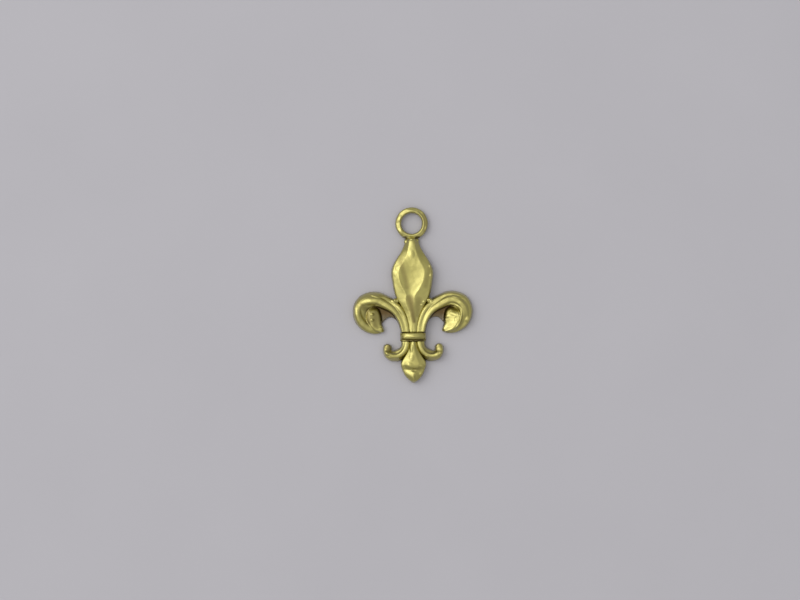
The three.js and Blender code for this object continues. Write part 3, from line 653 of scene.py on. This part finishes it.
# Soft oval marks that the hammer and the mould left on the front: x, y, half length, half width,
# turn in degrees, and rise. A rise below 0 is a dent.
MARKS = {
    # Three soft lumps, the two creases of the joint, and a dent and a swelling at the top.
    "hanging_ring": [
        (-1.44, 8.66, 0.55, 0.34, 60, 0.08), (-1.28, 7.16, 0.5, 0.3, -50, 0.08),
        (1.7, 7.53, 0.4, 0.24, 80, 0.07), (-0.88, 6.54, 0.42, 0.14, 0, -0.3),
        (0.69, 6.51, 0.38, 0.14, 0, -0.3), (1.09, 9.3, 0.5, 0.24, -45, -0.06),
        (-0.01, 9.59, 0.6, 0.2, 0, 0.04),
    ],
    # Two bumps on either rim, the rounded neck, and two grains by the right crotch.
    "centre_petal": [
        (-1.74, 3.07, 0.4, 0.24, 70, 0.03), (-1.94, 2.41, 0.4, 0.24, 85, 0.035),
        (2.1, 3.27, 0.34, 0.24, 110, 0.08), (2.15, 2.17, 0.3, 0.24, 90, 0.08),
        (-0.04, 4.6, 0.6, 0.4, 90, 0.06), (-0.02, 6.3, 0.34, 0.22, 0, 0.12),
        (1.34, -0.79, 0.24, 0.2, 0, 0.08), (1.1, -1.15, 0.24, 0.2, 0, 0.08),
    ],
    # Seven on the lobe. Then the curl's outer side, its top line, the crotch and its outer side again.
    "right_petal": [
        (4.52, -2.15, 0.46, 0.3, -20, 0.05), (3.84, -2.42, 0.3, 0.24, 0, 0.04),
        (4.9, -2.71, 0.4, 0.26, 60, -0.06), (4.28, -3.15, 0.6, 0.4, 30, 0.06),
        (3.93, -2.78, 0.34, 0.2, 20, -0.03), (4.8, -3.52, 0.5, 0.24, 50, 0.04),
        (4.0, -4.37, 0.3, 0.2, 20, 0.05), (6.28, -2.86, 0.46, 0.4, 30, 0.11),
        (5.05, -0.28, 0.9, 0.15, -14, 0.08), (2.07, -0.6, 0.34, 0.26, 0, 0.12),
        (5.85, -4.06, 0.9, 0.2, 40, 0.05), (5.61, -0.99, 0.5, 0.24, -40, 0.04),
    ],
    # The lobe's two small bumps and its tip, the curl's top line, the crotch, and two broad swellings.
    "left_petal": [
        (-4.57, -2.14, 0.24, 0.2, 0, 0.09), (-4.58, -2.79, 0.24, 0.2, 0, 0.09),
        (-3.59, -3.78, 0.36, 0.2, 0, 0.07), (-3.42, -4.13, 0.24, 0.18, 0, 0.05),
        (-4.11, -0.06, 0.95, 0.17, -12, 0.12), (-2.13, -0.56, 0.34, 0.26, 0, 0.12),
        (-4.63, -0.71, 0.9, 0.5, 10, 0.07), (-6.23, -2.3, 0.9, 0.3, 100, 0.05),
    ],
    # A bump at the left, a long crest and a dent.
    "collar_band": [
        (-1.05, -4.78, 0.26, 0.2, 0, 0.09), (0.16, -4.68, 0.6, 0.18, -4, 0.04),
        (0.83, -4.92, 0.6, 0.2, 8, -0.06),
    ],
    # The bulge's sides and the dent across it, the bud's sides, the stem's crest and a dent below.
    "foot_spear": [
        (-0.5, -7.97, 0.7, 0.5, -38, 0.09), (1.03, -8.13, 0.42, 0.3, -20, 0.09),
        (0.05, -8.5, 0.8, 0.3, -12, -0.08), (-0.6, -9.05, 0.8, 0.46, -50, 0.1),
        (0.88, -8.95, 0.36, 0.26, 40, 0.09), (-0.24, -5.96, 0.62, 0.24, 90, 0.09),
        (-0.22, -7.1, 0.5, 0.36, 90, 0.05), (0.21, -9.32, 0.5, 0.2, -70, -0.07),
    ],
    # The knob's two bumps with the crease between them, and one on the arm.
    "right_foot_scroll": [
        (3.3, -6.62, 0.4, 0.3, 0, 0.1), (3.22, -7.13, 0.46, 0.28, 0, 0.1),
        (3.19, -6.88, 0.42, 0.16, 0, -0.06), (1.39, -7.02, 0.26, 0.22, 0, 0.07),
    ],
    # The knob's two bumps with the crease between them.
    "left_foot_scroll": [
        (-3.09, -6.55, 0.46, 0.32, -20, 0.12), (-2.91, -7.16, 0.54, 0.32, -20, 0.12),
        (-2.98, -6.86, 0.5, 0.16, -16, -0.07),
    ],
}

# The casting's unevenness: height of each layer of noise, and how often it repeats in a millimetre.
UNEVENNESS = [(0.016, 1.9), (0.003, 5.3)]

# The heights below which marks and unevenness fade out.
MARK_FADE = 0.6
UNEVEN_FADE = 0.2

# Passes of smoothing.
PASSES = 4
RING_PASSES = 2


def worked(places, marks):
    """Raises or sinks the points of a front at its marks."""
    for x, y, long, wide, turn, rise in marks:
        across, up = places[:, 0] - x, places[:, 1] - y
        u = (across * cos(radians(turn)) + up * sin(radians(turn))) / long
        v = (up * cos(radians(turn)) - across * sin(radians(turn))) / wide
        swell = np.maximum(1 - u * u - v * v, 0) ** 1.5
        places[:, 2] += rise * swell * np.clip(places[:, 2] / MARK_FADE, 0, 1)


def uneven(places, normals):
    """Moves points along their normals by the unevenness."""
    swell = np.array([
        sum(high * noise.noise(Vector(p) * often) for high, often in UNEVENNESS) for p in places
    ])
    places += normals * swell[:, None] * np.clip(places[:, 2:] / UNEVEN_FADE, 0, 1)


def bare_mesh(name, parts):
    """One mesh of several closed parts, in millimetres."""
    verts, faces = [], []
    for part_verts, part_faces in parts:
        first = len(verts)
        verts += part_verts
        faces += [tuple(first + k for k in face) for face in part_faces]
    mesh = bpy.data.meshes.new(name)
    mesh.from_pydata([tuple(map(float, v)) for v in verts], [], faces)
    mesh.validate()
    return mesh


def skin_over(piece, passes):
    """Skins a piece's parts together into one closed mesh and smooths it."""
    skin = piece.modifiers.new("skin", "REMESH")
    skin.mode = "VOXEL"
    skin.voxel_size = VOXEL
    smooth = piece.modifiers.new("soften", "SMOOTH")
    smooth.factor = 0.5
    smooth.iterations = round(passes * (COARSE_VOXEL / VOXEL) ** 2)
    depsgraph = bpy.context.evaluated_depsgraph_get()
    mesh = bpy.data.meshes.new_from_object(piece.evaluated_get(depsgraph))
    piece.modifiers.clear()
    piece.data = mesh


def vectors(collection, field):
    """One field of a mesh's points or normals, as rows of three."""
    values = np.empty(3 * len(collection))
    collection.foreach_get(field, values)
    return values.reshape(-1, 3)


def casting(node, parts, material, passes=PASSES):
    """One soft-edged piece in a node's place, marked, slightly uneven and laid flat on its back."""
    piece = bpy.data.objects.new(f"{node}_cast", bare_mesh(node, parts))
    bpy.context.collection.objects.link(piece)
    skin_over(piece, passes)
    mesh = piece.data
    places = vectors(mesh.vertices, "co")
    normals = vectors(mesh.vertex_normals, "vector")
    worked(places, MARKS[node])
    uneven(places, normals)
    places[:, 2] = np.maximum(places[:, 2], 0)
    mesh.vertices.foreach_set("co", (places * MM).ravel())
    mesh.update()
    mesh.shade_smooth()
    mesh.materials.clear()
    mesh.materials.append(material)
    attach(piece, "root")
    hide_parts(node)
    return piece


# Streaks of painted shade on the front: from x, y and half width to x, y and half width, and strength.
PAINTED_SHADE_STREAKS = [
    ((-0.3, -0.5, 0.62), (0.1, -3.0, 0.26), 0.7),
    ((0.66, -0.6, 0.5), (0.45, -2.3, 0.3), 0.35),
    ((-1.3, 3.9, 0.4), (-0.6, 0.9, 0.36), 0.4),
    ((2.05, 3.4, 0.3), (1.5, 1.0, 0.36), 0.25),
    ((0.0, -8.45, 0.2), (0.6, -8.4, 0.34), 0.4),
    ((-6.1, -0.95, 0.3), (-5.4, -1.5, 0.4), 0.4),
    ((-5.1, -1.6, 0.42), (-5.0, -3.0, 0.42), 0.6),
    ((-4.2, -1.9, 0.42), (-4.3, -3.4, 0.5), 0.45),
    ((-2.86, -5.7, 0.6), (-2.8, -6.15, 0.5), 0.6),
    ((2.72, -5.8, 0.5), (2.78, -6.2, 0.5), 0.35),
    ((-0.8, -5.13, 0.17), (1.1, -5.16, 0.17), 0.8),
    ((1.4, 9.0, 0.4), (1.55, 7.4, 0.5), 0.35),
    ((-1.1, 6.5, 0.16), (-0.6, 6.5, 0.16), 0.8),
    ((0.45, 6.46, 0.16), (0.9, 6.5, 0.16), 0.8),
]


def stroke_depth(points, start, end, strength):
    """A soft streak's strength at each point, fullest on its middle line."""
    a, b = np.array(start[:2]), np.array(end[:2])
    along = np.clip((points[:, :2] - a) @ (b - a) / ((b - a) @ (b - a)), 0, 1)
    gap = np.linalg.norm(points[:, :2] - a - along[:, None] * (b - a), axis=1)
    half = start[2] + along * (end[2] - start[2])
    return strength * np.maximum(1 - (gap / half) ** 2, 0)


# The height map that recesses are measured against: the size of its cells, and over how many it is
# averaged. A point darkens, partly with tarnish and partly with painted shade, where it lies
# RECESS_FREE below that, fully RECESS_DEPTH further down.
RECESS_CELL = 0.1
RECESS_REACH = 7
RECESS_MARGIN = 1
RECESS_FREE = 0.2
RECESS_DEPTH = 1.0

# The crook of a curl: its middle from the curl's, and its radius. Painted shade darkens it below
# CROOK_HEIGHT, and a softer painted shade lies on its web, from the next to last distance below the
# curl's middle, fully after the last.
CROOK = (-1.3, 0.1)
CROOK_RADIUS = 1.7
CROOK_HEIGHT = 0.85
CROOK_FADE = 0.5
WEB_ROUGHNESS = 0.05  # how far the web's front may stand above its height
SOFT_SHADE_FROM = 0.05
SOFT_SHADE_FADE = 0.6


def cells_of(points, low):
    """The cells of the height map that points lie in."""
    return tuple(((points[:, :2] - low) / RECESS_CELL).astype(int).T)


def mean_heights(points, low):
    """The height map: the front's height, averaged round each cell."""
    size = ((points[:, :2].max(0) - low + RECESS_MARGIN) / RECESS_CELL).astype(int)
    heights = np.zeros(size)
    np.maximum.at(heights, cells_of(points, low), points[:, 2])
    metal = (heights > 0).astype(float)
    box = np.ones(RECESS_REACH)
    for axis in (0, 1, 0, 1):
        heights = np.apply_along_axis(np.convolve, axis, heights, box, "same")
        metal = np.apply_along_axis(np.convolve, axis, metal, box, "same")
    return heights / np.maximum(metal, 1)


def in_crook(points):
    """Which points lie in the crook of the left or the right curl."""
    across = np.abs(points[:, 0]) - curl_x - CROOK[0]
    return np.hypot(across, points[:, 1] - curl_y - CROOK[1]) < CROOK_RADIUS


def tarnish_and_shade_at(points, around):
    """Tarnish and painted shade from 0 to 1: partly tarnish and partly painted shade in the recesses,
    painted shade in the crooks and along the streaks.
    """
    # Partly tarnish and partly painted shade in the recesses, by depth below the averaged heights.
    depth = (around - points[:, 2] - RECESS_FREE) / RECESS_DEPTH
    # Painted shade in the crooks, below a height.
    crook = (CROOK_HEIGHT - points[:, 2]) / CROOK_FADE
    depth = np.where(in_crook(points), np.maximum(depth, crook), depth)
    # Painted shade along the streaks.
    for stroke in PAINTED_SHADE_STREAKS:
        depth = np.maximum(depth, stroke_depth(points, *stroke))
    return np.clip(depth, 0, 1)


def soft_shade_at(points):
    """A softer painted shade from 0 to 1 on the webs of the crooks, fullest towards their edge."""
    soft_shade = np.clip((curl_y - SOFT_SHADE_FROM - points[:, 1]) / SOFT_SHADE_FADE, 0, 1)
    on_web = in_crook(points) & (points[:, 2] < WEB_HEIGHT + WEB_ROUGHNESS)
    return np.where(on_web, soft_shade, 0)


def store_tarnish_and_shade(pieces):
    """Stores the tarnish and painted shade and the softer painted shade of the webs at each point,
    half and half, so that up to 0.5 it is the tarnish and painted shade alone.
    """
    places = [vectors(piece.data.vertices, "co") / MM for piece in pieces]
    everything = np.concatenate(places)
    low = everything[:, :2].min(0) - RECESS_MARGIN
    heights = mean_heights(everything, low)
    for piece, points in zip(pieces, places):
        around = heights[cells_of(points, low)]
        # Painted shade, partly tarnish, and the softer painted shade of the webs.
        depth = 0.5 * tarnish_and_shade_at(points, around) + 0.5 * soft_shade_at(points)
        tarnish_and_shade = piece.data.attributes.new("tarnish_and_shade", "FLOAT", "POINT")
        tarnish_and_shade.data.foreach_set("value", depth)


# Materials. Scales of the brass's noises: wandering tone, worn gloss and drawn grain. The roughness
# goes from GLOSSIER below its own value to DULLER above it, and the tarnish and painted shade take the
# sheen away.
TONE_SCALE = 420
WEAR_SCALE = 1500
GRAIN_SCALE = 5200
GRAIN_DRAWN = (0.12, 1, 1)
GLOSSIER = 0.06
DULLER = 0.08
SHEEN = 0.9
TARNISHED_AND_SHADED_SHEEN = 0.1

# Scales of the paper's noises, and the height of every relief in metres.
CLOUD_SCALE = 60
TOOTH_SCALE = 2500
RELIEF_HEIGHT = 0.00002


def srgb(r, g, b):
    """A colour written as 0 to 255 screen values, in the shader's linear values."""
    return tuple(((c / 255 + 0.055) / 1.055) ** 2.4 for c in (r, g, b)) + (1,)


def node_material(name):
    """A new material with its node tree and its shader."""
    material = bpy.data.materials.new(name)
    material.use_nodes = True
    tree = material.node_tree
    return material, tree, tree.nodes["Principled BSDF"]


def feed(tree, node, inputs):
    """Gives a node's inputs, by name, their values or the outlets that they follow."""
    for name, value in inputs.items():
        if isinstance(value, bpy.types.NodeSocket):
            tree.links.new(value, node.inputs[name])
        else:
            node.inputs[name].default_value = value


def add(tree, kind, inputs, outlet, **settings):
    """The outlet of a new node."""
    node = tree.nodes.new(kind)
    for name, value in settings.items():
        setattr(node, name, value)
    feed(tree, node, inputs)
    return node.outputs[outlet]


def noise_over(tree, place, scale, detail):
    """Noise that repeats about scale times in a metre."""
    inputs = {"Vector": place, "Scale": scale, "Detail": detail}
    return add(tree, "ShaderNodeTexNoise", inputs, "Fac")


def blend(tree, share, first, second):
    """A colour between two."""
    inputs = {"Factor": share, "A": first, "B": second}
    return add(tree, "ShaderNodeMix", inputs, "Result", data_type="RGBA")


def spread(tree, value, start, end, low=0, high=1):
    """A value that goes from low to high while another goes from start to end."""
    inputs = {"Value": value, "From Min": start, "From Max": end, "To Min": low, "To Max": high}
    return add(tree, "ShaderNodeMapRange", inputs, "Result")


def relief(tree, height, strength):
    """A surface normal that shows a faint height."""
    inputs = {"Height": height, "Strength": strength, "Distance": RELIEF_HEIGHT}
    return add(tree, "ShaderNodeBump", inputs, "Normal")


# The castings, the ring's wire, the tarnish and painted shade that darken them, the softer painted
# shade of the crooks' webs, and the paper.
LIGHT_CAST = srgb(180, 172, 90)
DEEP_CAST = srgb(168, 158, 78)
LIGHT_WIRE = srgb(180, 172, 92)
DEEP_WIRE = srgb(168, 158, 80)
# Painted shade: a dark brown that stands partly for tarnish in the hollows and partly for shade in
# recesses, crooks and streaks.
TARNISH_AND_PAINTED_SHADE = srgb(90, 73, 44)
# Painted shade: a softer brown-grey on the crooks' webs that fades the dark into the paper.
SOFT_PAINTED_SHADE = srgb(104, 95, 76)
LIGHT_PAPER = srgb(181, 179, 184)
DEEP_PAPER = srgb(176, 174, 179)


def brass(name, light, deep, roughness):
    """Raw brass: the colour wanders between a light and a deep tone, tarnish and painted shade darken
    its recesses and the crooks' webs and dull their sheen, and drawn grain and casting grit break up
    the gloss."""
    material, tree, shader = node_material(name)
    place = add(tree, "ShaderNodeTexCoord", {}, "Object")
    tarnish_and_shade = add(tree, "ShaderNodeAttribute", {}, "Fac", attribute_name="tarnish_and_shade")
    clean = blend(tree, noise_over(tree, place, TONE_SCALE, 3), light, deep)
    # Painted shade: the colour darkens where tarnish and shade are stored.
    tarnished_and_shaded = blend(tree, spread(tree, tarnish_and_shade, 0, 0.5), clean, TARNISH_AND_PAINTED_SHADE)
    wear = noise_over(tree, place, WEAR_SCALE, 4)
    drawn = add(tree, "ShaderNodeMapping", {"Vector": place, "Scale": GRAIN_DRAWN}, "Vector")
    feed(tree, shader, {
        # Painted shade: the softer brown-grey on the crooks' webs.
        "Base Color": blend(tree, spread(tree, tarnish_and_shade, 0.5, 1), tarnished_and_shaded, SOFT_PAINTED_SHADE),
        "Metallic": 1,
        "Roughness": spread(tree, wear, 0, 1, roughness - GLOSSIER, roughness + DULLER),
        "Coat Weight": spread(tree, tarnish_and_shade, 0, 0.5, SHEEN, TARNISHED_AND_SHADED_SHEEN),
        "Coat Roughness": 0.25,
        "Coat IOR": 1.65,
        "Normal": relief(tree, noise_over(tree, drawn, GRAIN_SCALE, 2), 0.25),
    })
    return material


def paper():
    """Pale lilac-grey paper with a faint tooth."""
    material, tree, shader = node_material("paper")
    place = add(tree, "ShaderNodeTexCoord", {}, "Object")
    feed(tree, shader, {
        "Base Color": blend(tree, noise_over(tree, place, CLOUD_SCALE, 4), DEEP_PAPER, LIGHT_PAPER),
        "Roughness": 0.9,
        "Specular IOR Level": 0.1,
        "Normal": relief(tree, noise_over(tree, place, TOOTH_SCALE, 3), 0.2),
    })
    return material


def build_pieces():
    """Every visible piece of the charm, each in its node's place."""
    cast = brass("cast_brass", LIGHT_CAST, DEEP_CAST, 0.36)
    wire = brass("ring_brass", LIGHT_WIRE, DEEP_WIRE, 0.32)
    scroll = foot_scroll()
    right_petal = side_petal(RIGHT_SECTIONS, RIGHT_RIDGES, RIGHT_LOBE, RIGHT_LOBE_SECTIONS)
    left_petal = side_petal(LEFT_SECTIONS, LEFT_RIDGES, LEFT_LOBE, LEFT_LOBE_SECTIONS)
    castings = {
        "centre_petal": centre_petal(),
        "right_petal": right_petal,
        "left_petal": [mirrored(part) for part in left_petal],
        "collar_band": collar_band(),
        "foot_spear": foot_spear(),
        "right_foot_scroll": scroll,
        "left_foot_scroll": [mirrored(part) for part in scroll],
    }
    pieces = [casting("hanging_ring", hanging_ring(), wire, RING_PASSES)]
    pieces += [casting(node, parts, cast) for node, parts in castings.items()]
    store_tarnish_and_shade(pieces)


PAPER_HALF = 0.6  # metres from its middle to its edge


def lay_paper():
    """The sheet under the charm."""
    mesh = bpy.data.meshes.new("paper")
    corners = [
        (x * PAPER_HALF, y * PAPER_HALF, 0) for x, y in [(-1, -1), (1, -1), (1, 1), (-1, 1)]
    ]
    mesh.from_pydata(corners, [], [(0, 1, 2, 3)])
    mesh.materials.append(paper())
    sheet = bpy.data.objects.new("paper", mesh)
    bpy.context.collection.objects.link(sheet)


# The photograph's frame, in millimetres: the width that it shows, its middle on the charm, and how
# high the camera hangs. TILT is the charm's turn in it, in degrees.
FRAME_WIDTH = 90.9
AIM = (-1.434, -0.548)
CAMERA_HEIGHT = 300
TILT = 0.8
SENSOR_WIDTH = 36


def set_camera():
    """A camera that looks straight down."""
    data = bpy.data.cameras.new("camera")
    data.sensor_width = SENSOR_WIDTH
    data.lens = SENSOR_WIDTH * CAMERA_HEIGHT / FRAME_WIDTH
    data.clip_start = 0.01
    data.clip_end = 10
    camera = bpy.data.objects.new("camera", data)
    camera.location = (AIM[0] * MM, AIM[1] * MM, CAMERA_HEIGHT * MM)
    camera.rotation_euler = Euler((0, 0, radians(-TILT)))
    bpy.context.collection.objects.link(camera)
    bpy.context.scene.camera = camera


# One soft window, as three nested boxes: bearing and height in degrees, distance and side in metres,
# and radiance.
LAMPS = {
    "key": (152, 50, 0.8, 1.1, 0.8),
    "inner_key": (152, 52, 0.78, 0.56, 0.98),
    "window": (148, 54, 0.76, 0.22, 1.9),
}

# The room is brightest overhead and darkest at the horizon.
ROOM_LOW = 0.45
ROOM_HIGH = 1.0
ROOM_FALL = 3.5


def lamp(name, bearing, rise, distance, size, radiance):
    """A square soft box that faces the charm."""
    data = bpy.data.lights.new(name, "AREA")
    data.size = size
    data.energy = radiance * pi * size * size
    flat = distance * cos(radians(rise))
    place = Vector((
        flat * cos(radians(bearing)),
        flat * sin(radians(bearing)),
        distance * sin(radians(rise)),
    ))
    light = bpy.data.objects.new(name, data)
    light.location = place
    light.rotation_euler = (-place).to_track_quat("-Z", "Y").to_euler()
    bpy.context.collection.objects.link(light)


def light_room():
    """A white room whose light falls off towards the horizon."""
    world = bpy.data.worlds.new("room")
    world.use_nodes = True
    tree = world.node_tree
    way = add(tree, "ShaderNodeTexCoord", {}, "Generated")
    upward = add(tree, "ShaderNodeSeparateXYZ", {"Vector": way}, "Z")
    steep = add(tree, "ShaderNodeMath", {0: upward, 1: ROOM_FALL}, "Value", operation="POWER")
    strength = spread(tree, steep, 0, 1, ROOM_LOW, ROOM_HIGH)
    feed(tree, tree.nodes["Background"], {"Color": (1, 1, 1, 1), "Strength": strength})
    bpy.context.scene.world = world


def light_scene():
    """The room and the window."""
    light_room()
    for name, row in LAMPS.items():
        lamp(name, *row)


build_pieces()
lay_paper()
set_camera()
light_scene()
bpy.context.scene.view_settings.view_transform = "Standard"
